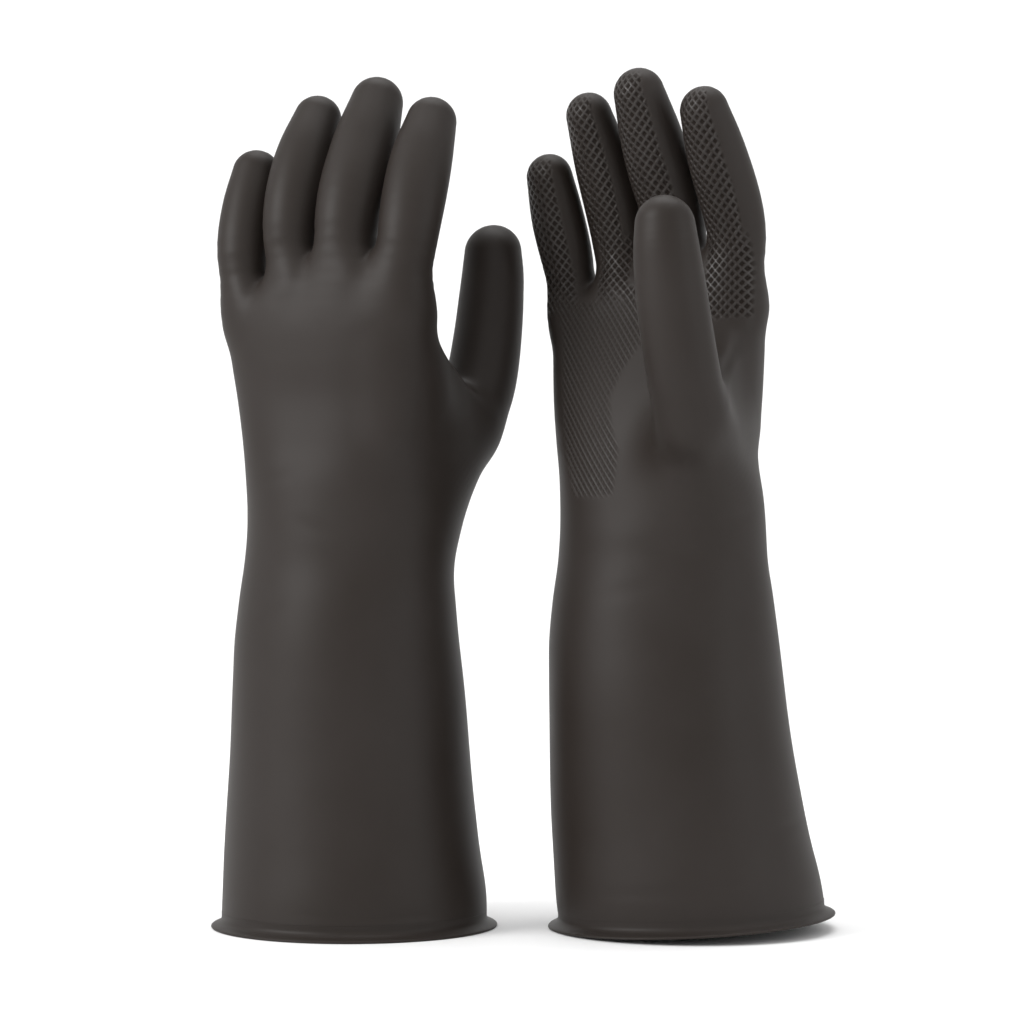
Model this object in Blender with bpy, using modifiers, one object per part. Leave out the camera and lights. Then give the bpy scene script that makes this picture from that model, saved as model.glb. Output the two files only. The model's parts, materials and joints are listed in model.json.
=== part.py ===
"""Pair of long dipped-rubber gloves, standing upright on their cuffs.

Each glove is a thin hollow shell. It is built in sections that meet where the rubber flexes: cuff bead,
gauntlet, hand, and two sections for the thumb and for every finger. At each flex line the upper section
ends in a hollow ball that sits, with a small gap, in the open mouth of the section below.

One glove is described in its own axes, in millimetres: X to the thumb side, Y to the palm, Z up from the
floor. The second glove is its mirror image (Y reversed), turned and tilted a little on its own cuff.
"""

from math import atan2, cos, pi, radians, sin, sqrt

import bmesh
import bpy
from mathutils import Matrix, Vector

MM = 0.001

# ---- rubber and fits
WALL = 1.6  # thickness of the rubber
GAP = 0.5  # between a ball and the socket that holds it
REST_GAP = 0.35  # between sections that only meet
ROUND = 30  # corners round the gauntlet and hand
FINGER_ROUND = 14  # corners round a finger

# ---- stance of the pair: where each cuff's centre stands, its turn and its lean
STANCE = {
    "left": {"at": (-80.8, 18.6, 0.0), "turn": -29.0, "lean": 0.0, "palm": 1},
    "right": {"at": (80.9, 10.6, 3.6), "turn": -26.0, "lean": -3.0, "palm": -1},
}

# ---- cuff bead: the rolled lip that the glove stands on
BEAD_OUTER, BEAD_INNER, BEAD_HEIGHT = 68.7, 62.0, 4.6

# ---- gauntlet: z, centre x, centre y, half width, half depth of the outside
GAUNTLET = [
    (BEAD_HEIGHT + REST_GAP, 0.0, 0.0, 63.7, 63.7),
    (14.0, -0.4, 0.8, 63.6, 63.6),
    (41.0, -2.4, 2.0, 61.6, 61.2),
    (79.0, -4.4, 3.0, 58.8, 58.0),
    (120.0, -5.5, 3.0, 56.2, 54.4),
    (148.0, -5.3, 3.2, 54.0, 50.4),
    (173.0, -3.6, 5.1, 52.1, 46.0),
]

# ---- wrist: the hand's lower end is an ellipsoid of revolution about the wrist's flex axis
WRIST = (-3.6, 5.1, 185.0)
WRIST_WIDTH, WRIST_DEPTH, WRIST_SKIRT = 50.0, 43.5, 50.0  # half sizes, and how far down it wraps
HAND = [
    (200.0, -4.6, 4.0, 49.5, 42.0, 2.0),
    (214.0, -5.6, 2.4, 49.3, 39.5, 2.1),
    (233.0, -5.7, 0.8, 51.3, 35.0, 2.2),
    (253.0, -5.6, -2.2, 53.8, 30.0, 2.3),
    (272.0, -6.6, -6.9, 55.0, 26.0, 2.4),
    (290.0, -7.7, -11.5, 56.2, 22.5, 2.5),
    (303.0, -8.3, -13.6, 57.0, 20.0, 2.5),
    (309.0, -8.5, -14.0, 55.5, 17.0, 2.5),
    (311.5, -8.6, -14.0, 53.0, 13.0, 2.5),
]
THUMB_ROOT = [  # centre and radius of the rubber that runs from the heel of the hand to the thumb
    ((12.0, 8.0, 190.0), 27.0),
    ((23.0, 28.0, 205.0), 22.5),
    ((28.6, 42.0, 221.0), 19.8),
    ((33.0, 55.0, 240.0), 18.0),
    ((35.0, 62.2, 252.0), 17.4),
]
WEB = [  # centre, half width and half height of the web between thumb and forefinger
    ((36.0, -8.0, 256.0), 9.0, 14.0),
    ((38.5, 10.0, 254.0), 8.0, 17.0),
    ((37.5, 29.0, 249.0), 7.5, 19.0),
    ((35.5, 49.0, 246.0), 9.0, 18.0),
]

# ---- digits: flex points (x, y, z) and end, radii of base section and of end, travel at both flex points
DIGITS = {
    "thumb": dict(knuckle=(35.6, 65.2, 260.0), middle=(36.3, 75.6, 302.0), end=(36.5, 73.2, 328.6),
                  base_r=14.9, end_r=12.4, knuckle_travel=(-20, 25), middle_travel=(-45, 0)),
    "index": dict(knuckle=(35.2, -13.2, 331.0), middle=(35.3, 1.3, 366.0), end=(35.5, 12.0, 386.9),
                  base_r=14.0, end_r=11.5, socket_depth=27.0,
                  knuckle_travel=(-10, 35), middle_travel=(0, 50)),
    "middle": dict(knuckle=(2.0, -13.2, 334.0), middle=(2.5, 2.0, 373.0), end=(3.3, 15.0, 398.6),
                   base_r=13.9, end_r=11.6, socket_depth=27.0,
                   knuckle_travel=(-10, 35), middle_travel=(0, 50)),
    "ring": dict(knuckle=(-27.3, -12.7, 334.0), middle=(-27.4, 0.7, 369.0), end=(-28.2, 11.0, 390.8),
                 base_r=13.2, end_r=11.0, socket_depth=27.0,
                 knuckle_travel=(-10, 35), middle_travel=(0, 50)),
    "pinky": dict(knuckle=(-54.8, -12.7, 321.0), middle=(-55.3, -4.5, 346.0), end=(-55.6, 2.5, 362.6),
                  base_r=12.1, end_r=9.9, socket_depth=19.0,
                  knuckle_travel=(-10, 35), middle_travel=(0, 50)),
}
KNUCKLE_SKIRT, MIDDLE_SKIRT = 55.0, 62.0  # how far the balls wrap below their centres, in degrees


# ---- scene

for old in list(bpy.data.objects):
    bpy.data.objects.remove(old, do_unlink=True)

parts = bpy.data.collections.new("electrical_insulating_gloves")
cutters = bpy.data.collections.new("cutters")
for collection in (parts, cutters):
    bpy.context.scene.collection.children.link(collection)


def rubber(name, shade):
    material = bpy.data.materials.new(name)
    material.use_nodes = True
    surface = material.node_tree.nodes["Principled BSDF"]
    surface.inputs["Base Color"].default_value = (shade, shade * 0.95, shade * 0.92, 1)
    surface.inputs["Roughness"].default_value = 0.45
    return material


# ---- rings of points and the skins through them


def circle(centre, axis, radius, count, heights=None):
    """Corners round an axis, the first towards X, then on towards the palm; heights lifts each along it."""
    d = Vector(axis).normalized()
    u = (Vector((1, 0, 0)) - d * d.x).normalized()
    v = d.cross(u)
    heights = heights or [0.0] * count
    return [
        Vector(centre) + u * radius * cos(2 * pi * k / count) + v * radius * sin(2 * pi * k / count) + d * h
        for k, h in zip(range(count), heights)
    ]


def oval(z, x, y, half_width, half_depth, power=2.0, inset=0.0, count=ROUND):
    """Corners of a level oval; a power over 2 flattens its front and back."""
    points = []
    for k in range(count):
        c, s = cos(2 * pi * k / count), sin(2 * pi * k / count)
        cx = (abs(c) ** (2 / power)) * (1 if c >= 0 else -1)
        sy = (abs(s) ** (2 / power)) * (1 if s >= 0 else -1)
        points.append(Vector((x + (half_width - inset) * cx, y + (half_depth - inset) * sy, z)))
    return points


def upright_oval(centre, half_width, half_height, inset=0.0, count=FINGER_ROUND):
    """Corners of an oval that faces the palm direction."""
    return [
        Vector(centre)
        + Vector(((half_width - inset) * cos(2 * pi * k / count), 0, (half_height - inset) * sin(2 * pi * k / count)))
        for k in range(count)
    ]


def skin(name, rings, palm, origin, looped=False, poles=()):
    """A closed mesh through rings of corners. It is looped when the last ring joins the first; a pole
    closes a run of rings in one point, given as {ring index: point} for the gap after that ring."""
    poles = dict(poles)
    shift = Vector(origin)

    def local(p):
        q = Vector(p) - shift
        return Vector((q.x, q.y * palm, q.z)) * MM

    bm = bmesh.new()
    loops = [[bm.verts.new(local(p)) for p in ring] for ring in rings]
    joins = list(zip(range(len(loops) - 1), range(1, len(loops))))
    if looped:
        joins.append((len(loops) - 1, 0))
    for a, b in joins:
        if a in poles:
            for ring, tip in zip((loops[a], loops[b]), (bm.verts.new(local(p)) for p in poles[a])):
                for k in range(len(ring)):
                    bm.faces.new((ring[k], ring[k - 1], tip))
            continue
        for k in range(len(loops[a])):
            bm.faces.new((loops[a][k - 1], loops[a][k], loops[b][k], loops[b][k - 1]))
    if not looped:
        bm.faces.new(loops[0])
        bm.faces.new(loops[-1])
    bmesh.ops.recalc_face_normals(bm, faces=bm.faces)
    bmesh.ops.triangulate(bm, faces=[f for f in bm.faces if len(f.verts) > 4])
    mesh = bpy.data.meshes.new(name)
    bm.to_mesh(mesh)
    bm.free()
    return bpy.data.objects.new(name, mesh)


def place(obj, collection, parent=None, at=(0, 0, 0), palm=1):
    """Puts an object in its collection, at a point given in its parent's axes."""
    collection.objects.link(obj)
    obj.parent = parent
    obj.location = Vector((at[0], at[1] * palm, at[2])) * MM
    return obj


def combine(target, tool, operation):
    """Adds a helper solid to the target or takes it away."""
    tool.hide_render = True
    tool.display_type = "WIRE"
    change = target.modifiers.new(tool.name, "BOOLEAN")
    change.operation = operation
    change.solver = "EXACT"
    change.object = tool


# ---- the mouths of sockets


def mouth(radius, low, high, count):
    """How high a socket's wall may stand at each corner, from the ball's centre, so that a tube of the
    ball's radius can swing from low to high degrees towards the palm without meeting it."""
    heights = []
    for k in range(count):
        x, y = 1.035 * cos(2 * pi * k / count), 1.035 * sin(2 * pi * k / count)
        side = sqrt(max(0.0, 1 - x * x))
        top = 0.0
        for step in range(1, 13):
            for angle in (radians(low) * step / 12, radians(high) * step / 12):
                reach = y if angle > 0 else -y
                if abs(angle) > 1e-6 and reach > 0:
                    top = min(top, (reach * cos(angle) - side) / sin(abs(angle)))
        heights.append((top - 0.07) * radius)
    return heights


def along(start, finish, distance):
    d = (Vector(finish) - Vector(start)).normalized()
    return Vector(start) + d * distance


def lean_of(start, finish):
    """A section's lean from upright towards the palm, in degrees."""
    return atan2(finish[1] - start[1], finish[2] - start[2]) * 180 / pi


def ball(centre, axis, radius, skirt, steps):
    """Rings from a ball's lower edge up to its equator."""
    d = Vector(axis).normalized()
    rings = []
    for k in range(steps + 1):
        angle = radians(skirt) * (1 - k / steps)
        rings.append(circle(Vector(centre) - d * radius * sin(angle), d, radius * cos(angle), FINGER_ROUND))
    return rings


def digit_sections(side, name, d, palm):
    """Both sections of a finger or thumb."""
    knuckle, middle, end = d["knuckle"], d["middle"], d["end"]
    base_axis = Vector(middle) - Vector(knuckle)
    end_axis = Vector(end) - Vector(middle)
    base_r = d["base_r"]
    tip_r = base_r - WALL - GAP
    inner = base_r - WALL

    # the base section: ball, tube, and the socket for the end section
    bend = lean_of(middle, end) - lean_of(knuckle, middle)
    low, high = d["middle_travel"]
    rim = mouth(tip_r + GAP, low + bend - 4, high + bend + 3, FINGER_ROUND)
    rings = ball(knuckle, base_axis, base_r, KNUCKLE_SKIRT, 3)
    rings.append(circle(middle, base_axis, base_r, FINGER_ROUND, rim))
    rings.append(circle(middle, base_axis, inner, FINGER_ROUND, rim))
    rings += list(reversed(ball(knuckle, base_axis, inner, KNUCKLE_SKIRT, 2)))
    base = skin(f"{side}_{name}_base", rings, palm, knuckle, looped=True)

    # the end section: ball, tapering tube, round end
    outside, inside, end_r = [], [], d["end_r"]
    for r0, r1, steps, rings in (
        (tip_r, end_r, 3, outside),
        (tip_r - WALL, end_r - WALL, 2, inside),
    ):
        rings += ball(middle, end_axis, r0, MIDDLE_SKIRT, steps)
        for k in range(steps):
            angle = radians(90) * k / steps
            at = along(middle, end, end_axis.length + r1 * sin(angle))
            rings.append(circle(at, end_axis, r1 * cos(angle), FINGER_ROUND))
    crown = end_axis.length + end_r
    poles = {len(outside) - 1: (along(middle, end, crown), along(middle, end, crown - WALL))}
    tip = skin(f"{side}_{name}_tip", outside + list(reversed(inside)), palm, middle, looped=True, poles=poles)
    return base, tip


def build_glove(side):
    stance = STANCE[side]
    palm = stance["palm"]

    stand = bpy.data.objects.new(f"{side}_stand", None)
    place(stand, cutters)
    stand.matrix_world = (
        Matrix.Translation(Vector(stance["at"]) * MM)
        @ Matrix.Rotation(radians(stance["lean"]), 4, "Y")
        @ Matrix.Rotation(radians(stance["turn"]), 4, "Z")
    )

    # cuff bead: a profile turned about the glove's axis
    profile = [
        (BEAD_INNER, 0.0),
        (BEAD_OUTER - 0.7, 0.0),
        (BEAD_OUTER, 0.6),
        (BEAD_OUTER - 0.3, 1.4),
        (BEAD_OUTER - 2.6, 2.6),
        (BEAD_OUTER - 4.4, BEAD_HEIGHT),
        (BEAD_INNER, BEAD_HEIGHT),
    ]
    bm = bmesh.new()
    corners = [bm.verts.new((r * MM, 0, z * MM)) for r, z in profile]
    for k in range(len(corners)):
        bm.edges.new((corners[k - 1], corners[k]))
    mesh = bpy.data.meshes.new(f"{side}_cuff_bead")
    bm.to_mesh(mesh)
    bm.free()
    bead = bpy.data.objects.new(f"{side}_cuff_bead", mesh)
    turned = bead.modifiers.new("turned", "SCREW")
    turned.angle, turned.axis = 2 * pi, "Z"
    turned.steps = turned.render_steps = 40
    turned.use_merge_vertices, turned.merge_threshold = True, 0.00001
    turned.use_normal_calculate = True

    # gauntlet: outside up, inside down
    outside = [oval(*row) for row in GAUNTLET]
    inside = [oval(*row, inset=WALL) for row in GAUNTLET[:-1]]
    inside.append(oval(GAUNTLET[-1][0], WRIST[0], WRIST[1], WRIST_WIDTH + GAP, WRIST_DEPTH + GAP))
    gauntlet = skin(f"{side}_gauntlet", outside + list(reversed(inside)), palm, (0, 0, 0), looped=True)

    # hand: a closed body with the wrist's ellipsoid below
    def wrist_rings(inset, steps):
        rings = []
        for k in range(steps + 1):
            angle = radians(WRIST_SKIRT) * (1 - k / steps)
            rings.append(
                oval(
                    WRIST[2] - (WRIST_DEPTH - inset) * sin(angle),
                    WRIST[0],
                    WRIST[1],
                    (WRIST_WIDTH - inset) * cos(angle),
                    (WRIST_DEPTH - inset) * cos(angle),
                )
            )
        return rings

    hand = skin(f"{side}_hand", wrist_rings(0, 3) + [oval(*row) for row in HAND], palm, WRIST)
    lower = wrist_rings(WALL, 2)
    mouth_of_cavity = [p - Vector((0, 0, 6)) for p in lower[0]]
    inner_rows = [oval(row[0] - (WALL if k >= len(HAND) - 2 else 0), *row[1:], inset=WALL)
                  for k, row in enumerate(HAND)]
    hollow = skin(f"{side}_hand_hollow", [mouth_of_cavity] + lower + inner_rows, palm, WRIST)

    def socket(name, axis):
        """The bore a knuckle's ball sits in, and how high its wall stands."""
        d = DIGITS[name]
        bend = lean_of(d["knuckle"], d["middle"]) - lean_of((0, 0, 0), axis)
        low, high = d["knuckle_travel"]
        bore = d["base_r"] + GAP
        return bore, mouth(bore, low + bend - 3, high + bend + 3, FINGER_ROUND)

    # the thumb's root, which ends as the socket of the thumb
    thumb_knuckle = Vector(DIGITS["thumb"]["knuckle"])
    thumb_axis = (thumb_knuckle - Vector(THUMB_ROOT[-1][0])).normalized()
    thumb_bore, thumb_rim = socket("thumb", thumb_axis)
    root, root_hollow = [], []
    for k, (centre, radius) in enumerate(THUMB_ROOT):
        before = Vector(THUMB_ROOT[max(k - 1, 0)][0])
        after = Vector(THUMB_ROOT[min(k + 1, len(THUMB_ROOT) - 1)][0])
        root.append(circle(centre, after - before, radius, FINGER_ROUND))
        root_hollow.append(circle(centre, after - before, radius - WALL, FINGER_ROUND))
    root.append(circle(thumb_knuckle, thumb_axis, thumb_bore + WALL, FINGER_ROUND, thumb_rim))
    root_hollow.append(circle(thumb_knuckle - thumb_axis * 5, thumb_axis, thumb_bore, FINGER_ROUND))
    root_hollow.append(circle(thumb_knuckle + thumb_axis * 25, thumb_axis, thumb_bore, FINGER_ROUND))

    helpers = [
        ("UNION", skin(f"{side}_thumb_root", root, palm, WRIST)),
        ("UNION", skin(f"{side}_web", [upright_oval(*row) for row in WEB], palm, WRIST)),
    ]
    hollow_parts = [
        skin(f"{side}_thumb_root_hollow", root_hollow, palm, WRIST),
        skin(f"{side}_web_hollow", [upright_oval(*row, inset=WALL) for row in WEB], palm, WRIST),
    ]
    for name, d in DIGITS.items():
        if name == "thumb":
            continue
        knuckle, axis = Vector(d["knuckle"]), Vector((0, 0.05, 1)).normalized()
        foot = knuckle - axis * d["socket_depth"]
        bore, rim = socket(name, axis)
        collar = [
            circle(foot, axis, bore + WALL - 0.3, FINGER_ROUND),
            circle(knuckle, axis, bore + WALL, FINGER_ROUND, rim),
        ]
        cut = [circle(foot - axis * 3, axis, bore, FINGER_ROUND), circle(knuckle + axis * 25, axis, bore, FINGER_ROUND)]
        helpers.append(("UNION", skin(f"{side}_{name}_collar", collar, palm, WRIST)))
        hollow_parts.append(skin(f"{side}_{name}_bore", cut, palm, WRIST))
    helpers.append(("DIFFERENCE", hollow))

    place(gauntlet, parts, stand, (0, 0, 0), palm)
    place(bead, parts, gauntlet, (0, 0, 0), palm)
    place(hand, parts, gauntlet, WRIST, palm)
    for operation, tool in helpers:
        place(tool, cutters, hand, (0, 0, 0), palm)
        combine(hand, tool, operation)
    for tool in hollow_parts:
        place(tool, cutters, hand, (0, 0, 0), palm)
        combine(hollow, tool, "UNION")

    pieces = [gauntlet, bead, hand]
    for name, d in DIGITS.items():
        base, tip = digit_sections(side, name, d, palm)
        place(base, parts, hand, Vector(d["knuckle"]) - Vector(WRIST), palm)
        place(tip, parts, base, Vector(d["middle"]) - Vector(d["knuckle"]), palm)
        pieces += [base, tip]
    for k, piece in enumerate(pieces):
        piece.data.materials.append(rubber(f"{piece.name}_rubber", 0.028 + 0.002 * (k % 5)))


for glove in STANCE:
    build_glove(glove)
bpy.context.view_layer.update()
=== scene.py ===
import json
import math

import bmesh
import bpy
import numpy as np
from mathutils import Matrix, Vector


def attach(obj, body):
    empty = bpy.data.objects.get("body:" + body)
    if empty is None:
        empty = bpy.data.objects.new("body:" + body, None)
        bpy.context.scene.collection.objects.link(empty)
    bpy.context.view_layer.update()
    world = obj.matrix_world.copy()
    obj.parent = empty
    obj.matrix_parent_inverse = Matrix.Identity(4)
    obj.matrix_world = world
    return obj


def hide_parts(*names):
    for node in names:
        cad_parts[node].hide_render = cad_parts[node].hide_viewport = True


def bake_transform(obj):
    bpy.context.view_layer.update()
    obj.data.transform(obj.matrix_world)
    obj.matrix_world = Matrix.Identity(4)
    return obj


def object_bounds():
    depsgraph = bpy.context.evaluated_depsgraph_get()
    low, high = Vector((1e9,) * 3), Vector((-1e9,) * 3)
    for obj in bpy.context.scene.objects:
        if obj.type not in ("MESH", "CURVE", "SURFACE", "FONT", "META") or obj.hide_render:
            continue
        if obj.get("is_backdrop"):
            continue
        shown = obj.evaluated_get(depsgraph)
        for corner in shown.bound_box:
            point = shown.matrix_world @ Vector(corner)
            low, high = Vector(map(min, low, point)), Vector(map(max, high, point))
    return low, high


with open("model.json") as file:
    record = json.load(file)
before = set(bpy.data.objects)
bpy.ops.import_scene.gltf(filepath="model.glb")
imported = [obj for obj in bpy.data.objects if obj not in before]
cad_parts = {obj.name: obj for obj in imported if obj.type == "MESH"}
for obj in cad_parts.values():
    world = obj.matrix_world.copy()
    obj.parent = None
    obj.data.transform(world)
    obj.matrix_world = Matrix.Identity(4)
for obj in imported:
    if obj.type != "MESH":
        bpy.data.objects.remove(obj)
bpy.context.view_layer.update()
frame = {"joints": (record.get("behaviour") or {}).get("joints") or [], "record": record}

# Sizes are in millimetres in each glove's own frame: x to the thumb side, p to the palm, z up the sleeve.
WALL = 1.6
CUFF_RADIUS = 65.0               # from the cuff's axis to its resting face's mount
SEAM_Z = 7.5                     # where the sleeve's skin meets the rolled cuff
FINGER_BLEND, THUMB_BLEND, WEB_BLEND, TOP_BLEND = 15.0, 24.0, 14.0, 14.0
SLIT_BLEND, ROOT_BLEND = 0.9, 5.0
WEB_LOW = 236                    # the web goes straight down from here

# the grip: pitch across the lines, their angle, how deep, and the extra cuts along each mesh edge where it is
GRIP_PITCH, GRIP_ANGLE = 3.05, 48.0
PALM_PITCH, PALM_ANGLE = 2.45, 54.0
PIT_DEPTH, RIDGE_DEPTH = 0.58, 0.42
GRIP_CUTS = 3
GRIP_Z, GRIP_BACK, GRIP_FRONT = 200, -34, 46      # no grip below this z, behind or in front of these p
FINGER_GRIP = ((-82, -72), (27, 35))              # degrees from the palm side, where a finger's grip fades in and out
FINGER_GRIP_FRONT = 34

# z, centre x, centre p, half width, half depth, squareness of the sleeve and the hand
BODY = (
    (-8, 0, 0, 63.8, 63.8, 2), (5, 0, 0, 63.7, 63.7, 2), (14, -0.4, 0.8, 63.5, 63.5, 2),
    (41, -2.4, 2.0, 61.2, 60.8, 2), (79, -4.5, 3.0, 58.4, 57.6, 2), (120, -5.8, 3.0, 56.0, 54.0, 2),
    (137, -6.1, 3.1, 55.2, 51.7, 2), (156, -5.5, 3.8, 53.5, 48.7, 2), (176, -4.6, 4.9, 51.0, 45.0, 2),
    (187, -4.2, 4.9, 50.2, 43.8, 2), (200, -4.4, 4.0, 49.8, 42, 2), (214, -5.0, 2.4, 49.4, 39.5, 2.1),
    (233, -5.2, 0.8, 51.0, 35, 2.2), (253, -5.1, -2.2, 53.3, 30, 2.3), (272, -5.8, -6.9, 54.2, 26, 2.4),
    (290, -6.4, -11.0, 54.6, 21.6, 2.5), (303, -6.8, -12.2, 55.2, 17.8, 2.5), (315, -7.6, -12.4, 54.4, 13.6, 2.4),
    (330, -8.6, -12.6, 52.5, 11, 2.3), (345, -8.6, -12.6, 51, 9, 2.2),
)
# z, shift towards the palm, turn (mm of p for each mm of x): the hand sits a little back and turned on the sleeve
TURN = (
    (-10, 0, 0), (60, 0, 0), (125, 0, 0), (140, -0.6, 0), (156, -1.5, 0.004), (176, -2.8, 0.022),
    (195, -2.8, 0.035), (214, -2.0, 0.042), (233, -1.5, 0.048), (253, -1.2, 0.050), (272, -1.4, 0.034),
    (290, -1.5, 0.016), (303, -1.5, 0.012), (320, -1.2, 0.026), (345, -0.7, 0.054), (430, -0.6, 0.058),
)
# mm added to each glove's hand over its length from the wrist up
STRETCH = {"left": 1.8, "right": -1.9}
STRETCH_FROM, STRETCH_LENGTH = 185, 215
# x, height of the hand between the fingers
TOP = (
    (-75, 298), (-58, 302.5), (-41.6, 304.5), (-28, 311), (-12, 316.3), (4, 318), (20.6, 317.0), (36, 310), (55, 296),
)
# x, p, z, radius along each digit
FINGERS = {
    "pinky": ((-50.5, -12.2, 292, 8.8), (-53.8, -12.8, 321, 12.6), (-55.1, -4.7, 345, 13.1), (-55.2, 2.0, 363.2, 11.5)),
    "ring": ((-25.0, -12.4, 299, 9.6), (-26.2, -13.4, 334, 13.6), (-27.0, -0.2, 369, 13.9), (-27.2, 11.8, 389.4, 11.3)),
    "middle": ((3.8, -12.6, 299, 10.6), (4.5, -13.7, 334, 15.1), (3.0, 4.2, 373, 15.5), (2.5, 16.8, 396.2, 12.4)),
    "index": ((34.6, -11.3, 296, 10.8), (37.1, -11.7, 331, 14.4), (35.1, 2.2, 366, 14.4), (34.4, 12.6, 384.8, 11.8)),
}
THUMB = (
    (12, 6, 188, 21), (22, 19.5, 204, 20.2), (29.2, 33.0, 221, 18.7), (33.4, 47.0, 240, 17.7), (35.4, 59.8, 262, 17.2),
    (35.8, 67.4, 284, 16.7), (35.8, 71.6, 304, 16.0), (35.8, 72.6, 316, 15.2), (35.8, 72.2, 326.4, 14.0),
)
FINGER_STEP, THUMB_STEP = 2.0, 3.0
# x, p, height of the edge, half thickness of the web between the thumb and the forefinger
WEB = (
    (29, -14, 279, 7.5), (33.5, 0, 277, 7.5), (36.6, 13, 273, 7.4), (37.6, 22, 268, 7.2), (37.2, 30, 262, 7.4),
    (36.2, 39, 255, 8.0), (35.0, 50, 247, 9),
)
# x of the slits between the fingers, and the height at which each closes
SLITS = ((-41.2, 313), (-11.9, 326), (20.6, 322.6))
THUMB_SIDE, THUMB_LOW = 30.0, 225     # the thumb is beyond this p and above this z
FINGERS_LOW = 296                     # and the fingers are above this z

# the span round each joint, and how far before each joint the next piece of skin begins
KNUCKLE_TILT, KNUCKLE_ZONE = 10.0, 14.0
MIDDLE_ZONE = {"pinky": 15.0, "ring": 18.0, "middle": 18.0, "index": 18.0, "thumb": 18.0}
TIP_SEAM = {"pinky": 7.7, "ring": 9.5, "middle": 9.5, "index": 9.5, "thumb": 9.7}
THUMB_SEAM_NORMAL, THUMB_SEAM_DEPTH, THUMB_ZONE = (0, 0.55, 0.835), 11.5, 26.0
WRIST_ZONE = 38.0


def smoothstep(t, low, high):
    t = np.clip((t - low) / (high - low), 0, 1)
    return t * t * (3 - 2 * t)


def smooth_min(a, b, k):
    h = np.maximum(k - np.abs(a - b), 0) / k
    return np.minimum(a, b) - h * h * k / 4


def smooth_rows(rows, step):
    """Rows (t, values...) drawn through with a smooth curve, every step of t."""
    rows = np.array(rows, float)
    t, v = rows[:, 0], rows[:, 1:]
    slope = np.gradient(v, t, axis=0)
    ts = np.append(np.arange(t[0], t[-1], step), t[-1])
    k = np.clip(np.searchsorted(t, ts, side="right") - 1, 0, len(t) - 2)
    h = (t[k + 1] - t[k])[:, None]
    s = (ts - t[k])[:, None] / h
    a, b = v[k], v[k + 1]
    out = (2 * s**3 - 3 * s**2 + 1) * a + (s**3 - 2 * s**2 + s) * h * slope[k]
    out += (3 * s**2 - 2 * s**3) * b + (s**3 - s**2) * h * slope[k + 1]
    return ts, out


def chain(points, step):
    """Points (x, p, z, radius) along a digit, filled in smoothly."""
    points = np.array(points, float)
    length = np.concatenate([[0], np.cumsum(np.linalg.norm(np.diff(points[:, :3], axis=0), axis=1))])
    return smooth_rows(np.column_stack([length, points]), step)[1]


def thinned(nodes, fine=26.0, keep=3):
    """A digit's nodes, close together near its tip alone."""
    near = nodes[:, 2] > nodes[-1, 2] - fine
    return nodes[near | (np.arange(len(nodes)) % keep == 0)]


BODY_Z, BODY_VALUES = smooth_rows(BODY, 1.0)
TOP_X, TOP_VALUES = smooth_rows(TOP, 1.0)
WEB_P, WEB_VALUES = smooth_rows([(w[1], w[0], w[2], w[3]) for w in WEB], 1.0)
CHAINS = {name: thinned(chain(points, FINGER_STEP)) for name, points in FINGERS.items()}
THUMB_CHAIN = chain(THUMB, THUMB_STEP)
TURN_Z, TURN_VALUES = smooth_rows(TURN, 1.0)
ORDER = ("pinky", "ring", "middle", "index")
DIGITS = ("thumb",) + ORDER


def near_chain(q, nodes, reach=34.0):
    """Distance from the points to a digit's skin, or reach where they are further off."""
    out = np.full(len(q), reach)
    low, high = nodes[:, :3].min(0) - reach - nodes[:, 3].max(), nodes[:, :3].max(0) + reach + nodes[:, 3].max()
    idx = np.flatnonzero(((q > low) & (q < high)).all(1))
    if len(idx) == 0:
        return out
    pts, best = q[idx], np.full(len(idx), 1e3)
    for a, b in zip(nodes[:-1], nodes[1:]):
        ab = b[:3] - a[:3]
        t = np.clip((pts - a[:3]) @ ab / (ab @ ab), 0, 1)
        away = pts - a[:3] - t[:, None] * ab
        best = np.minimum(best, np.sqrt((away * away).sum(1)) - a[3] - t * (b[3] - a[3]))
    out[idx] = np.minimum(best, reach)
    return out


def straight(q):
    """Points with the hand's turn on the sleeve taken out, which is how the tables give it."""
    shift, turn = (np.interp(q[:, 2], TURN_Z, column) for column in TURN_VALUES.T)
    out = q.copy()
    out[:, 1] -= shift + turn * q[:, 0]
    return out


def body_distance(q):
    x, p, z = q.T
    cx, cp, a, b, n = (np.interp(z, BODY_Z, column) for column in BODY_VALUES.T)
    u, v = np.maximum(np.abs(x - cx) / a, 1e-5), np.maximum(np.abs(p - cp) / b, 1e-5)
    f = np.maximum((u**n + v**n) ** (1 / n), 1e-3)
    steep = np.sqrt((u ** (n - 1) / a) ** 2 + (v ** (n - 1) / b) ** 2) * f ** (1 - n)
    side = (f - 1) / steep
    top = z - np.interp(x, TOP_X, TOP_VALUES[:, 0])
    return -smooth_min(-side, -top, TOP_BLEND)


def web_distance(q):
    x, p, z = q.T
    at = np.clip(p, WEB_P[0], WEB_P[-1])
    cx, top, r = (np.interp(at, WEB_P, column) for column in WEB_VALUES.T)
    up = np.maximum(z - (top - r), 0)
    down = np.maximum(WEB_LOW - z, 0)
    return np.sqrt((x - cx) ** 2 + up**2 + down**2 + (p - at) ** 2) - r


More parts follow.
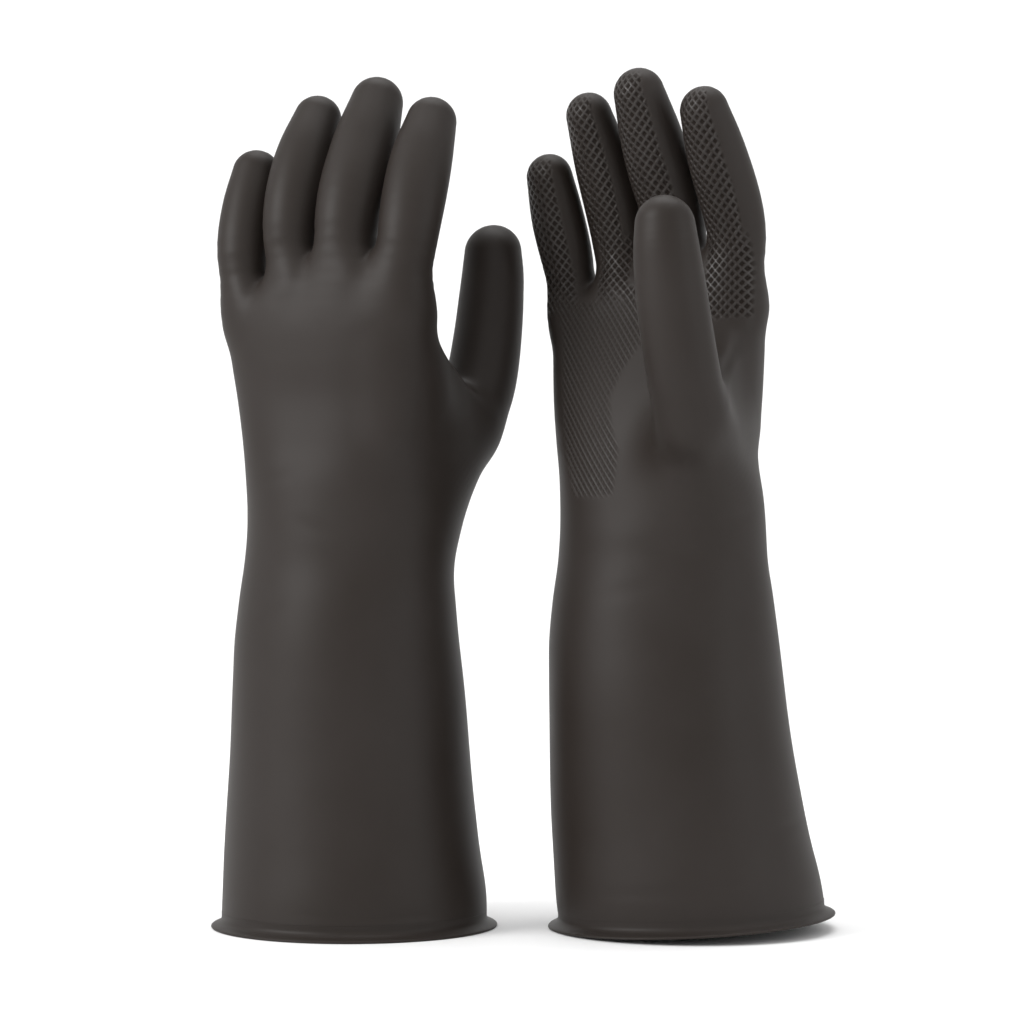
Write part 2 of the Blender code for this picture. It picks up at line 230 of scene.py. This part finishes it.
def distance(q):
    """Distance from points to the outside of a glove's skin, negative inside."""
    q = straight(q)
    z = q[:, 2]
    hand = smooth_min(body_distance(q), near_chain(q, THUMB_CHAIN), THUMB_BLEND)
    hand = smooth_min(hand, web_distance(q), WEB_BLEND)
    fingers = near_chain(q, CHAINS["pinky"])
    for name, (_, closes) in zip(ORDER[1:], SLITS):
        k = SLIT_BLEND + ROOT_BLEND * (1 - smoothstep(z, closes - 9, closes - 1))
        fingers = smooth_min(fingers, near_chain(q, CHAINS[name]), k)
    return smooth_min(hand, fingers, FINGER_BLEND)


def slope_of(field, q, step):
    out = np.empty_like(q)
    for k in range(3):
        d = np.zeros(3)
        d[k] = step
        out[:, k] = (field(q + d) - field(q - d)) / (2 * step)
    return out


def unit(v):
    return v / np.maximum(np.linalg.norm(v, axis=1, keepdims=True), 1e-9)


def settle(q, rounds=3):
    """Points moved on to the skin."""
    for _ in range(rounds):
        g = slope_of(distance, q, 0.25)
        q = q - (distance(q) / np.maximum((g * g).sum(1), 0.05))[:, None] * g
    return q


# ---- the grip: diamond pits on the fingers, slanted ridges on the palm

# z, x of the two edges of the palm's grip
PALM_LEFT = ((205, -35), (226, -42), (250, -46), (280, -49), (300, -53), (312, -58))
PALM_RIGHT = ((205, -12), (226, -10), (240, -15), (252, -17), (265, -12), (277, -4), (288, 8), (300, 14), (312, 16))
# x, z, radius of the smooth patches below the slits
SMOOTH_PATCHES = ((-37.5, 306, 7.0), (-13.5, 313, 7.0))
# z where each finger's grip ends, and where it starts: from x, to x, lowest z
TIP_END = {"pinky": 369.5, "ring": 396.5, "middle": 404, "index": 393}
ROOTS = {"pinky": (-62, -46, 296), "ring": (-31, -15, 300), "middle": (-8, 16, 302), "index": (26, 47, 287)}


def pulse(t):
    """1 in the pit and 0 on the ridge, once for each whole t."""
    return smoothstep(0.5 + 0.5 * np.cos(2 * math.pi * t), 0.02, 0.56)


def grip_weight(q):
    """How strongly the grip shows at each point, its sideways coordinate, and how far it is ridges and not pits."""
    x, p, z = straight(q).T
    weight, across = np.zeros(len(q)), x.copy()
    bounds_x = [-90] + [s[0] for s in SLITS] + [90]
    for k, name in enumerate(ORDER):
        nodes = CHAINS[name]
        ax, ap, r = (np.interp(z, nodes[:, 2], nodes[:, c]) for c in (0, 1, 3))
        angle = np.degrees(np.arctan2(x - ax, p - ap))
        left, right, low = ROOTS[name]
        closes = SLITS[min(k, 2)][1]
        w = smoothstep(angle, *FINGER_GRIP[0]) * (1 - smoothstep(angle, *FINGER_GRIP[1]))
        w *= 1 - smoothstep(z, TIP_END[name] - 4, TIP_END[name] + 3)
        rooted = smoothstep(x, left - 1.5, left + 1.5) * (1 - smoothstep(x, right - 1.5, right + 1.5))
        clear = smoothstep(z, closes - 3, closes + 9)
        w = w * clear + (1 - clear) * rooted * (p > ap)
        w *= smoothstep(z, low - 2.5, low + 2.5)
        mine = (x > bounds_x[k]) & (x < bounds_x[k + 1]) & (p < FINGER_GRIP_FRONT)
        weight = np.where(mine, np.maximum(weight, w), weight)
        turned = ax + r * np.radians(angle)
        across = np.where(mine, x + (turned - x) * clear, across)
    left = np.interp(z, *zip(*PALM_LEFT))
    right = np.interp(z, *zip(*PALM_RIGHT))
    palm = smoothstep(x, left - 2, left + 3) * (1 - smoothstep(x, right - 3, right + 2))
    palm *= smoothstep(z, 203, 208) * (1 - smoothstep(z, 304, 309))
    for wx, wz, wr in SMOOTH_PATCHES:
        palm *= smoothstep(np.hypot(x - wx, z - wz), wr - 2, wr + 2)
    cp = np.interp(z, BODY_Z, BODY_VALUES[:, 1])
    palm *= (p > cp + 4) & (p < GRIP_FRONT)
    ridged = (1 - smoothstep(z, 292, 312)) * (1 - smoothstep(x, 18, 24))
    return np.maximum(weight, palm), across, ridged


def crossed(across, z, pitch, angle):
    """How far into a pit two crossing sets of lines put each point."""
    a = math.radians(angle)
    return tuple(pulse((across * math.sin(a) + k * z * math.cos(a)) / pitch) for k in (1, -1))


def may_grip(q):
    return (q[:, 2] > GRIP_Z) & (q[:, 1] > GRIP_BACK) & (q[:, 1] < GRIP_FRONT)


def grip_depth(q):
    weight, across, ridged = grip_weight(q)
    pu, pv = crossed(across, q[:, 2], GRIP_PITCH, GRIP_ANGLE)
    ru, rv = crossed(across, q[:, 2], PALM_PITCH, PALM_ANGLE)
    pits = PIT_DEPTH * pu * pv
    ridges = RIDGE_DEPTH * ru * (0.72 + 0.28 * rv)
    return weight * (pits * (1 - ridged) + ridges * ridged)


# Soft folds: facing (degrees from the palm towards the thumb), z, half length, slant, half width, depth
FOLDS = {
    "left": ((170, 191, 15, 0.25, 4.2, 0.26), (196, 150, 9, -0.4, 4.0, 0.22), (131, 11, 24, 0.03, 1.9, 0.3),
             (205, 214, 16, -0.15, 4.0, 0.3), (120, 176, 22, 0.1, 5.0, 0.4)),
    "right": ((20, 21, 30, 0.03, 2.4, 0.35), (80, 46, 18, 0.12, 3.2, 0.35), (35, 176, 26, -0.08, 5.0, 0.45),
              (5, 160, 20, 0.1, 4.5, 0.3), (62, 190, 16, 0.2, 4.0, 0.35)),
}
FOLD_RADIUS = 56                 # turns a facing into mm along the skin
# x, z of the soft mounds on the back, below the slits, with their height and half widths
MOUNDS = ((-47, 303), (-18, 310), (15, 312))
MOUND_HEIGHT, MOUND_WIDTH, MOUND_LENGTH = 0.85, 7.5, 8.5


def fold_height(q, side):
    """Unevenness, mounds and folds: how far the rubber stands out from the plain shape."""
    x, p, z = q.T
    angle = np.arctan2(x + 4, p - 3)
    out = 0.20 * np.sin(3 * angle + z / 26) + 0.13 * np.sin(5 * angle - z / 19 + 1)
    out += 0.10 * np.sin(2 * angle + z / 11 + 2)
    out *= smoothstep(z, 12, 34) * (1 - smoothstep(z, 215, 262)) * (1 if side == "left" else -1)
    back = 1 - smoothstep(p, -26, -17)
    for mx, mz in MOUNDS:
        out += MOUND_HEIGHT * back * np.exp(-((x - mx) / MOUND_WIDTH) ** 2 - ((z - mz) / MOUND_LENGTH) ** 2)
    for facing, at, length, slant, width, depth in FOLDS[side]:
        turn = (angle - math.radians(facing) + math.pi) % (2 * math.pi) - math.pi
        s = turn * FOLD_RADIUS
        t = z - at - slant * s
        out -= depth * np.exp(-((t / width) ** 2) - (s / length) ** 2)
    return out * smoothstep(z, SEAM_Z + 0.3, SEAM_Z + 3.0)


def relief(q, side):
    """How far the finished skin stands out from the plain shape, folds and grip together."""
    out = fold_height(q, side)
    idx = np.flatnonzero(may_grip(q))
    out[idx] -= grip_depth(q[idx])
    return out


# ---- the gloves' places, and the seams where one piece of skin ends and the next begins

def joint(name):
    return next(j for j in frame["joints"] if j["name"] == name)


class Glove:
    """A glove's own frame, read from the CAD: its wrist hinge, its cuff's resting face and its joints."""

    def __init__(self, side):
        self.side = side
        sign = -1.0 if side == "left" else 1.0
        wrist = joint(f"{side}_wrist_flex")
        rest = next(m for m in frame["record"]["mounts"] if m["name"] == f"{side}_cuff_rest")
        self.radial = sign * Vector(wrist["axis"]).normalized()
        self.up = -Vector(rest["axis"]).normalized()
        self.palm = -sign * self.up.cross(self.radial)
        self.mirrored = side == "right"
        self.origin = Vector(rest["pos_m"]) - CUFF_RADIUS / 1000 * self.radial
        self.axes = np.array([self.radial, self.palm, self.up])

    def local(self, point):
        return self.axes @ (np.array(point, float) - np.array(self.origin)) * 1000

    def world(self, q):
        return np.asarray(q, float) / 1000 @ self.axes + np.array(self.origin)

    def placed(self, q):
        """Points of the skin, in the world: this glove's hand is a touch longer or shorter than the tables give."""
        q = np.array(q, float)
        q[:, 2] += STRETCH[self.side] * np.maximum(q[:, 2] - STRETCH_FROM, 0) / STRETCH_LENGTH
        return self.world(q)

    def direction(self, v):
        return np.asarray(v, float) @ self.axes


GLOVES = {side: Glove(side) for side in ("left", "right")}
HOME = GLOVES["left"]            # the skin is made once, from this glove's joints, and placed for each glove
WRIST = HOME.local(joint("left_wrist_flex")["pos_m"])
KNUCKLE = {d: HOME.local(joint(f"left_{d}_base_flex")["pos_m"]) for d in DIGITS}
MIDDLE = {d: HOME.local(joint(f"left_{d}_tip_flex")["pos_m"]) for d in DIGITS}


def seams():
    """{digit: ((point, normal, zone start, zone end) for its knuckle, the same for its middle)}"""
    out = {}
    for d in DIGITS:
        k, m = KNUCKLE[d], MIDDLE[d]
        if d == "thumb":
            n = np.array(THUMB_SEAM_NORMAL, float)
            n /= np.linalg.norm(n)
            first = (k - THUMB_SEAM_DEPTH * n, n, k - (THUMB_SEAM_DEPTH - 1) * n)
            first += (first[2] + THUMB_ZONE * n,)
            tip = np.array(THUMB[-1][:3])
        else:
            t = math.radians(KNUCKLE_TILT)
            n = np.array([0, math.sin(t), math.cos(t)])
            first = (k - KNUCKLE_ZONE / 2 * n, n, k - KNUCKLE_ZONE / 2 * n, k + KNUCKLE_ZONE / 2 * n)
            tip = np.array(FINGERS[d][-1][:3])
        n = (m - k) / np.linalg.norm(m - k) + (tip - m) / np.linalg.norm(tip - m)
        n[0] = 0
        n /= np.linalg.norm(n)
        half = MIDDLE_ZONE[d] / 2
        out[d] = (first, (m - TIP_SEAM[d] * n, n, m - half * n, m + half * n))
    return out


SEAMS = seams()


def in_digit(c, digit):
    """Whether points lie in a digit's own part of the glove."""
    if digit == "thumb":
        return (c[:, 1] > THUMB_SIDE) & (c[:, 2] > THUMB_LOW)
    k = ORDER.index(digit)
    edges = [-90] + [s[0] for s in SLITS] + [90]
    return (c[:, 0] > edges[k]) & (c[:, 0] < edges[k + 1]) & (c[:, 1] < THUMB_SIDE) & (c[:, 2] > FINGERS_LOW)


# ---- one seamless skin, meshed once

def grid_lines(low, high, step, fine=()):
    """Grid positions from low to high, closer together in the spans (from, to, step) of fine."""
    out, at = [], low
    while at < high:
        out.append(at)
        inside = [f for f in fine if f[0] - 1e-6 <= at < f[1] - 1e-6]
        nxt = at + (inside[0][2] if inside else step)
        for f in fine:
            if at < f[0] - 1e-6 < nxt:
                nxt = f[0]
        at = nxt
    return np.array(out + [high])


def skin_net():
    """The plain skin as quads: one point in each grid cell it crosses."""
    xs = grid_lines(-74, 66, 2.1, [(s[0] - 2.6, s[0] + 2.6, 0.5) for s in SLITS[:2]] + [(18.2, 23.6, 0.9)])
    ps = grid_lines(-68, 98, 2.1)
    zs = grid_lines(-3, 418, 2.1, [(6, 14, 1.3), (14, 176, 2.7), (310, 330, 1.3)])
    shape = (len(xs), len(ps), len(zs))
    values = np.empty(shape, np.float32)
    for k0 in range(0, shape[2], 24):
        part = zs[k0:k0 + 24]
        q = np.stack(np.meshgrid(xs, ps, part, indexing="ij"), -1).reshape(-1, 3)
        values[:, :, k0:k0 + 24] = distance(q).reshape(shape[0], shape[1], -1)
    inside = values < 0
    corner = inside[:-1, :-1, :-1].astype(np.int8)
    total = np.zeros_like(corner)
    for a in (0, 1):
        for b in (0, 1):
            for c in (0, 1):
                total += inside[a:shape[0] - 1 + a, b:shape[1] - 1 + b, c:shape[2] - 1 + c]
    cells = np.argwhere((total > 0) & (total < 8))
    ids = np.full(total.shape, -1, np.int64)
    ids[tuple(cells.T)] = np.arange(len(cells))
    lines = (xs, ps, zs)
    sums, counts = np.zeros((len(cells), 3)), np.zeros(len(cells))
    for axis in range(3):
        for u in (0, 1):
            for v in (0, 1):
                first = np.zeros(3, int)
                first[(axis + 1) % 3], first[(axis + 2) % 3] = u, v
                last = first.copy()
                last[axis] = 1
                ia, ib = cells + first, cells + last
                va, vb = values[tuple(ia.T)], values[tuple(ib.T)]
                hit = (va < 0) != (vb < 0)
                t = np.where(hit, va / np.where(hit, va - vb, 1), 0)
                pa = np.stack([lines[k][ia[:, k]] for k in range(3)], -1)
                pb = np.stack([lines[k][ib[:, k]] for k in range(3)], -1)
                sums[hit] += (pa + t[:, None] * (pb - pa))[hit]
                counts[hit] += 1
    verts = sums / counts[:, None]
    faces = []
    for axis in range(3):
        lo, hi = [slice(None)] * 3, [slice(None)] * 3
        lo[axis], hi[axis] = slice(0, -1), slice(1, None)
        change = inside[tuple(lo)] != inside[tuple(hi)]
        at = np.argwhere(change)
        b, c = (axis + 1) % 3, (axis + 2) % 3
        keep = (at[:, b] > 0) & (at[:, c] > 0) & (at[:, b] < shape[b] - 1) & (at[:, c] < shape[c] - 1)
        at = at[keep]
        out = inside[tuple(at.T)]
        quad = []
        for db, dc in ((-1, -1), (0, -1), (0, 0), (-1, 0)):
            cell = at.copy()
            cell[:, b] += db
            cell[:, c] += dc
            quad.append(ids[tuple(cell.T)])
        quad = np.stack(quad, -1)
        faces.append(np.where(out[:, None], quad, quad[:, ::-1]))
    return verts, np.concatenate(faces)


def cut_skin():
    """The outer skin as points, faces and each face's piece, cut along the seams."""
    verts, quads = skin_net()
    verts = settle(verts)
    cuts = [("sleeve", np.array([0, 0, SEAM_Z]), np.array([0, 0, 1.0]), lambda c: c[:, 2] < 60)]
    for d in DIGITS:
        for k in (0, 1):
            point, normal = SEAMS[d][k][:2]
            cuts.append((f"{d}{k}", point, normal, lambda c, d=d: in_digit(c, d)))
    for _, point, normal, mine in cuts:  # points that nearly lie on a seam are slid on to it
        off = (verts - point) @ normal
        idx = np.flatnonzero((np.abs(off) < 0.45) & mine(verts))
        for _ in range(3):
            n = unit(slope_of(distance, verts[idx], 0.25))
            along = normal - n * (n @ normal)[:, None]
            off = (verts[idx] - point) @ normal
            verts[idx] -= along * (off / np.maximum((along @ normal), 0.2))[:, None]
            verts[idx] -= n * distance(verts[idx])[:, None]
        off = (verts[idx] - point) @ normal
        verts[idx] -= normal * off[:, None]
    mesh = bpy.data.meshes.new("net")
    mesh.from_pydata(verts.tolist(), [], quads.tolist())
    bm = bmesh.new()
    bm.from_mesh(mesh)
    bpy.data.meshes.remove(mesh)
    for _, point, normal, mine in cuts:
        bm.faces.ensure_lookup_table()
        centres = np.array([f.calc_center_median() for f in bm.faces])
        near = np.flatnonzero(mine(centres) & (np.abs((centres - point) @ normal) < 6))
        faces = [bm.faces[i] for i in near]
        geom = list({e for f in faces for e in f.edges}) + list({v for f in faces for v in f.verts}) + faces
        bmesh.ops.bisect_plane(bm, geom=geom, dist=1e-4, plane_co=point, plane_no=normal)
    bm.verts.index_update()
    points = np.array([v.co for v in bm.verts])
    faces = [[v.index for v in f.verts] for f in bm.faces]
    bm.free()
    centres = np.array([points[f].mean(0) for f in faces])
    piece = np.full(len(faces), "hand", object)
    piece[centres[:, 2] < SEAM_Z] = "drop"
    for d in DIGITS:
        for k, name in ((0, "base"), (1, "tip")):
            point, normal = SEAMS[d][k][:2]
            piece[in_digit(centres, d) & ((centres - point) @ normal > 0)] = f"{d}_{name}"
    return points, faces, piece


def shell(points, normals, faces):
    """A closed shell: the outer skin, the same skin a wall's thickness inside it, and the cut edges between them."""
    used = sorted({i for f in faces for i in f})
    new = {old: k for k, old in enumerate(used)}
    count = len(used)
    outer = points[used]
    inner = outer - WALL * normals[used]
    faces = [[new[i] for i in f] for f in faces]
    directed = {(f[k], f[(k + 1) % len(f)]) for f in faces for k in range(len(f))}
    rim = [[b, a, a + count, b + count] for a, b in directed if (b, a) not in directed]
    rim.sort()
    back = [[i + count for i in reversed(f)] for f in faces]
    return np.concatenate([outer, inner]), faces, back, rim, count


def refine(points, faces, count):
    """Extra points where the grip is, on the outer skin alone."""
    weight = grip_weight(points[:count])[0] * (points[:count, 2] > GRIP_Z) * (points[:count, 1] > GRIP_BACK)
    bm = bmesh.new()
    for p in points:
        bm.verts.new(p)
    bm.verts.ensure_lookup_table()
    for f in faces:
        bm.faces.new([bm.verts[i] for i in f])
    bm.verts.index_update()
    edges = []
    for e in bm.edges:
        a, b = e.verts[0].index, e.verts[1].index
        if a < count and b < count and max(weight[a], weight[b]) > 0.01:
            edges.append(e)
    if edges:
        bmesh.ops.subdivide_edges(bm, edges=edges, cuts=GRIP_CUTS, use_grid_fill=True)
    bm.verts.index_update()
    out = np.array([v.co for v in bm.verts])
    made = [[v.index for v in f.verts] for f in bm.faces]
    bm.free()
    return out, made


def build_skin():
    """{piece: (points, faces, whether each point is on the inside)} in the glove's own frame."""
    points, faces, piece = cut_skin()
    normals = unit(slope_of(distance, points, 0.25))
    out = {}
    for name in sorted(set(piece) - {"drop"}):
        mine = [f for f, p in zip(faces, piece) if p == name]
        pts, front, back, rim, count = shell(points, normals, mine)
        pts, made = refine(pts, front + back + rim, count)
        is_inner = np.zeros(len(pts), bool)
        is_inner[count:2 * count] = True
        fresh = np.flatnonzero(np.arange(len(pts)) >= 2 * count)
        pts[fresh] = settle(pts[fresh], 2)
        out[name] = (pts, made, is_inner)
    return out


# ---- materials

def rubber():
    """Satin black rubber, cloudy and finely grained, with painted shade darkening the grip's pits. A point's pit value
    is 1 in a pit, -1 on a ridge, 0 elsewhere.
    """
    mat = bpy.data.materials.new("dipped_rubber")
    mat.use_nodes = True
    nodes, links = mat.node_tree.nodes, mat.node_tree.links
    shader = nodes["Principled BSDF"]
    shader.inputs["IOR"].default_value = 1.38
    place = nodes.new("ShaderNodeTexCoord")
    cloud = nodes.new("ShaderNodeTexNoise")
    cloud.inputs["Scale"].default_value = 14
    cloud.inputs["Detail"].default_value = 3
    links.new(place.outputs["Object"], cloud.inputs["Vector"])
    tone = nodes.new("ShaderNodeValToRGB")
    tone.color_ramp.elements[0].position, tone.color_ramp.elements[1].position = 0.3, 0.72
    tone.color_ramp.elements[0].color = (0.0160, 0.0118, 0.0094, 1)
    tone.color_ramp.elements[1].color = (0.0215, 0.0170, 0.0148, 1)
    links.new(cloud.outputs["Fac"], tone.inputs["Fac"])
    pit = nodes.new("ShaderNodeAttribute")
    pit.attribute_name = "pit"
    # painted shade: the base colour is mixed towards a darker brown in the grip's pits, standing in for the shade that
    # falls in these recesses
    shade = nodes.new("ShaderNodeMixRGB")
    shade.inputs["Color2"].default_value = (0.0125, 0.0092, 0.0074, 1)
    links.new(pit.outputs["Fac"], shade.inputs["Fac"])
    links.new(tone.outputs["Color"], shade.inputs["Color1"])
    links.new(shade.outputs["Color"], shader.inputs["Base Color"])
    rough = nodes.new("ShaderNodeMapRange")
    rough.inputs["To Min"].default_value, rough.inputs["To Max"].default_value = 0.46, 0.58
    links.new(cloud.outputs["Fac"], rough.inputs["Value"])
    worn = nodes.new("ShaderNodeMath")
    worn.operation = "MULTIPLY_ADD"
    worn.inputs[1].default_value = 0.16
    links.new(pit.outputs["Fac"], worn.inputs[0])
    links.new(rough.outputs["Result"], worn.inputs[2])
    links.new(worn.outputs["Value"], shader.inputs["Roughness"])
    sheen = nodes.new("ShaderNodeMapRange")
    sheen.inputs["From Min"].default_value = -1
    sheen.inputs["To Min"].default_value, sheen.inputs["To Max"].default_value = 0.52, 0.14
    links.new(pit.outputs["Fac"], sheen.inputs["Value"])
    links.new(sheen.outputs["Result"], shader.inputs["Specular IOR Level"])
    grain = nodes.new("ShaderNodeTexNoise")
    grain.inputs["Scale"].default_value = 1400
    grain.inputs["Detail"].default_value = 2
    links.new(place.outputs["Object"], grain.inputs["Vector"])
    bump = nodes.new("ShaderNodeBump")
    bump.inputs["Strength"].default_value = 0.12
    bump.inputs["Distance"].default_value = 0.0002
    links.new(grain.outputs["Fac"], bump.inputs["Height"])
    links.new(bump.outputs["Normal"], shader.inputs["Normal"])
    return mat


def plain(name, colour, roughness):
    mat = bpy.data.materials.new(name)
    mat.use_nodes = True
    shader = mat.node_tree.nodes["Principled BSDF"]
    shader.inputs["Base Color"].default_value = (*colour, 1)
    shader.inputs["Roughness"].default_value = roughness
    return mat


# ---- pieces

def mesh_object(name, points, faces, corner_normals, material, pits=None):
    mesh = bpy.data.meshes.new(name)
    mesh.from_pydata(points.tolist(), [], faces)
    if pits is not None:
        mesh.attributes.new("pit", "FLOAT", "POINT").data.foreach_set("value", pits.astype(np.float32))
    mesh.polygons.foreach_set("use_smooth", np.ones(len(faces), bool))
    mesh.materials.append(material)
    if corner_normals is not None:
        mesh.normals_split_custom_set(corner_normals.tolist())
    mesh.update()
    obj = bpy.data.objects.new(name, mesh)
    bpy.context.scene.collection.objects.link(obj)
    return obj


def corner_normals_of(points, faces, is_inner, skin_normals):
    """A normal for each face corner: the skin's own on its outside and inside, and the face's on the cut edges."""
    counts = np.array([len(f) for f in faces])
    flat = np.concatenate(faces)
    face_of = np.repeat(np.arange(len(faces)), counts)
    inner_share = np.bincount(face_of, weights=is_inner[flat]) / counts
    rim = (inner_share > 0) & (inner_share < 1)
    starts = np.cumsum(counts) - counts
    out = skin_normals[flat]
    for i in np.flatnonzero(rim):
        f = faces[i]
        a, b, c = points[f[0]], points[f[1]], points[f[2]]
        n = np.zeros(3)
        for k in range(len(f)):
            n += np.cross(points[f[k]] - a, points[f[(k + 1) % len(f)]] - a)
        n = n / max(np.linalg.norm(n), 1e-12)
        out[starts[i]:starts[i] + counts[i]] = n
    return out


def dress(glove, skin, material):
    """One glove's pieces of skin, with their folds and grip."""
    side = glove.side
    made = {}
    for name, (pts, faces, is_inner) in skin.items():
        pts = pts.copy()
        outer = np.flatnonzero(~is_inner)
        q = pts[outer]
        n = unit(slope_of(distance, q, 0.25))
        pts[outer] = q + n * relief(q, side)[:, None]
        normals = np.zeros_like(pts)
        normals[outer] = unit(slope_of(distance, q, 1.2) - slope_of(lambda v: relief(v, side), q, 0.12))
        inner = np.flatnonzero(is_inner)
        normals[inner] = -unit(slope_of(distance, pts[inner], 0.25))
        if glove.mirrored:
            faces = [list(reversed(f)) for f in faces]
        world, facing = glove.placed(pts), glove.direction(normals)
        corners = corner_normals_of(world, faces, is_inner, facing)
        label = "skin" if name == "hand" else name
        pits = np.zeros(len(pts))
        # the pit value darkens the colour in the pits as painted shade, and also sets their roughness and specular
        # level
        pits[outer] = (2 * grip_depth(q) / PIT_DEPTH - grip_weight(q)[0]) * may_grip(q)
        made[name] = mesh_object(f"{side}_{label}", world, faces, corners, material, pits)
    return made


CUFF_SIDES = 192
CUFF = (  # radius, z: down the outside, round the lip, and up the inside
    (63.70, 7.5), (63.68, 6.2), (63.66, 5.2), (63.75, 4.4), (64.15, 3.6), (64.95, 2.85), (66.1, 2.2), (67.3, 1.7),
    (68.2, 1.3), (68.62, 0.95), (68.72, 0.6), (68.55, 0.25), (68.1, 0.05), (67.4, 0.0), (65.5, 0.0), (63.4, 0.0),
    (62.5, 0.12), (62.1, 0.5), (62.02, 1.2), (62.02, 4.0), (62.08, 7.5),
)


def cuff(glove, material):
    """The rolled bead round the open end, turned from its outline."""
    count = CUFF_SIDES
    ring = np.array(CUFF)
    angles = np.arange(count) * 2 * math.pi / count
    points = np.array([[r * math.sin(a), r * math.cos(a), z] for a in angles for r, z in ring])
    m = len(ring)
    faces = []
    for i in range(count):
        j = (i + 1) % count
        for k in range(m):
            l = (k + 1) % m
            faces.append([i * m + k, j * m + k, j * m + l, i * m + l])
    edge = np.roll(ring, -1, 0) - np.roll(ring, 1, 0)
    across = np.column_stack([-edge[:, 1], edge[:, 0]])
    across[0] = (1, 0)
    across[-1] = (-1, 0)
    across /= np.linalg.norm(across, axis=1, keepdims=True)
    normals = np.array([[r * math.sin(a), r * math.cos(a), z] for a in angles for r, z in across])
    world, facing = glove.world(points), glove.direction(normals)
    probe = faces[2]
    n = np.cross(world[probe[1]] - world[probe[0]], world[probe[2]] - world[probe[0]])
    if n @ facing[probe[0]] < 0:
        faces = [list(reversed(f)) for f in faces]
    flat = np.concatenate(faces)
    corners = facing[flat].copy()
    for i, f in enumerate(faces):
        ks = {v % m for v in f}
        if ks == {0, m - 1}:
            corners[4 * i:4 * i + 4] = np.array(glove.up)
    return mesh_object(f"{glove.side}_cuff", world, faces, corners, material)


material = rubber()
skin = build_skin()
for side, glove in GLOVES.items():
    pieces = dress(glove, skin, material)
    hand = pieces["hand"]
    low, high = WRIST - (0, 0, WRIST_ZONE / 2), WRIST + (0, 0, WRIST_ZONE / 2)
    glove.world(low)
    glove.world(high)
    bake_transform(hand)
    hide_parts(f"{side}_gauntlet", f"{side}_hand")
    for d in DIGITS:
        for k, (name, parent) in enumerate((("base", f"{side}_hand"), ("tip", f"{side}_{d}_base"))):
            piece = pieces[f"{d}_{name}"]
            start, end = SEAMS[d][k][2:]
            glove.world(start)
            glove.world(end)
            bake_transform(piece)
            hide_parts(f"{side}_{d}_{name}")
    lip = cuff(glove, material)
    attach(lip, f"{side}_gauntlet")
    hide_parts(f"{side}_cuff_bead")


# ---- floor, light and camera

def sweep(width, front, back, height, bend):
    """A floor that turns up into a backdrop."""
    line = [(front, 0.0), (back - bend, 0.0)]
    line += [(back - bend + bend * math.sin(t), bend - bend * math.cos(t)) for t in np.linspace(0.05, math.pi / 2, 24)]
    line += [(back, height)]
    points = np.array([[x, y, z] for y, z in line for x in (-width / 2, width / 2)])
    faces = [[2 * k, 2 * k + 1, 2 * k + 3, 2 * k + 2] for k in range(len(line) - 1)]
    return points, faces


points, faces = sweep(9.0, -3.0, 2.6, 4.0, 1.2)
floor = mesh_object("floor", points, faces, None, plain("pale_floor", (0.93, 0.93, 0.93), 0.7))
floor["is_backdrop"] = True

world = bpy.data.worlds.new("studio")
bpy.context.scene.world = world
world.use_nodes = True
world.node_tree.nodes["Background"].inputs["Color"].default_value = (1, 1, 1, 1)
world.node_tree.nodes["Background"].inputs["Strength"].default_value = 0.85


def area_light(name, at, aim, width, height, power):
    light = bpy.data.lights.new(name, "AREA")
    light.shape = "RECTANGLE"
    light.size, light.size_y, light.energy = width, height, power
    obj = bpy.data.objects.new(name, light)
    obj.location = at
    obj.rotation_euler = (Vector(aim) - Vector(at)).to_track_quat("-Z", "Y").to_euler()
    bpy.context.scene.collection.objects.link(obj)


area_light("key", (-1.9, -1.0, 1.3), (0, 0, 0.25), 1.1, 1.1, 42)
area_light("fill", (1.8, -0.9, 0.8), (0, 0, 0.2), 0.9, 1.3, 7)
area_light("top", (0.1, 0.3, 1.9), (0, 0, 0.2), 1.4, 1.0, 15)

CAMERA_SIDE, CAMERA_HEIGHT = 0.0758, 0.192        # from the left glove's axis, and from the floor
AIM_HEIGHT, AIM_DISTANCE = 0.1989, 1.5
camera_data = bpy.data.cameras.new("camera")
camera_data.lens, camera_data.sensor_width = 109.5, 36
camera_data.clip_start, camera_data.clip_end = 0.05, 30
camera = bpy.data.objects.new("camera", camera_data)
camera.location = (HOME.origin.x + CAMERA_SIDE, -1.4814, CAMERA_HEIGHT)
camera.rotation_euler = (math.radians(90) + math.atan2(AIM_HEIGHT - CAMERA_HEIGHT, AIM_DISTANCE), 0, 0)
bpy.context.scene.collection.objects.link(camera)
bpy.context.scene.camera = camera

bpy.context.scene.view_settings.view_transform = "Standard"

low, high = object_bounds()
